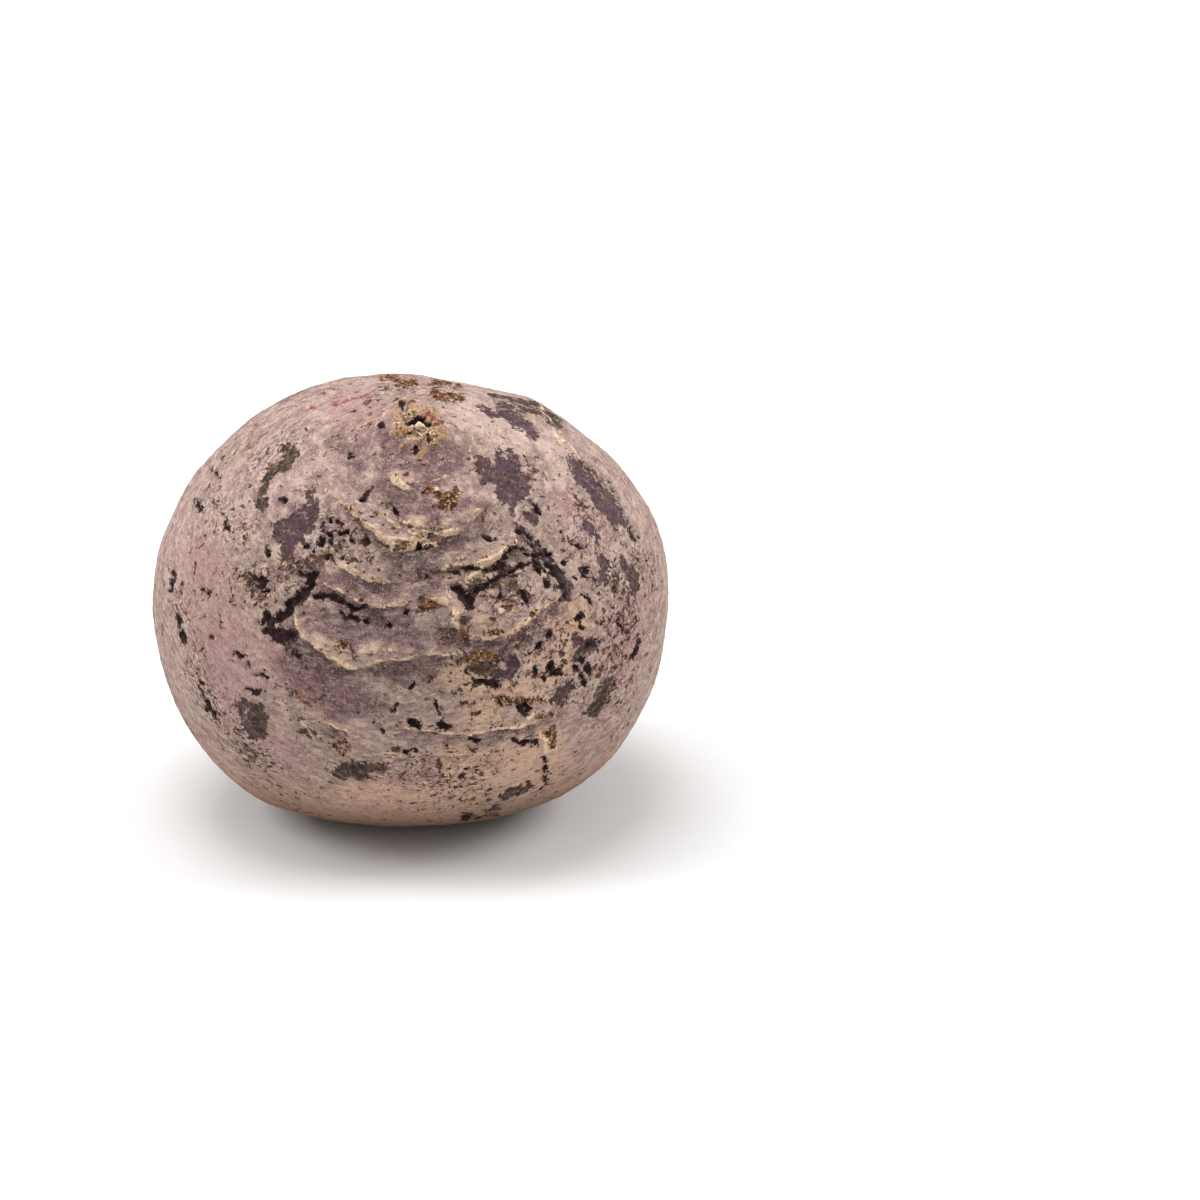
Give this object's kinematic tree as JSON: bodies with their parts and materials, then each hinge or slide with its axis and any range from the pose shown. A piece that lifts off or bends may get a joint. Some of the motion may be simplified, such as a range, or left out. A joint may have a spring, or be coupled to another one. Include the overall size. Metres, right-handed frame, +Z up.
{
  "type": "beetroot",
  "caption": "Whole raw beetroot with corky skin, standing on its trimmed crown with the tap root's stump at the top.",
  "frame": {"origin": "middle of the flat spot that the beetroot rests on, under its trimmed crown", "axes": "+Z up; the tap root's stump leans towards -Y, the front; +X is to the right seen from the front"},
  "size_m": [0.0899, 0.0881, 0.076],
  "materials": {
    "skin": "dry matte plant skin: thin grey-beige and dusty pink cork, cracked and worn through to dark purple"
  },
  "bodies": {
    "root": {"beetroot": "skin"}
  },
  "joints": []
}
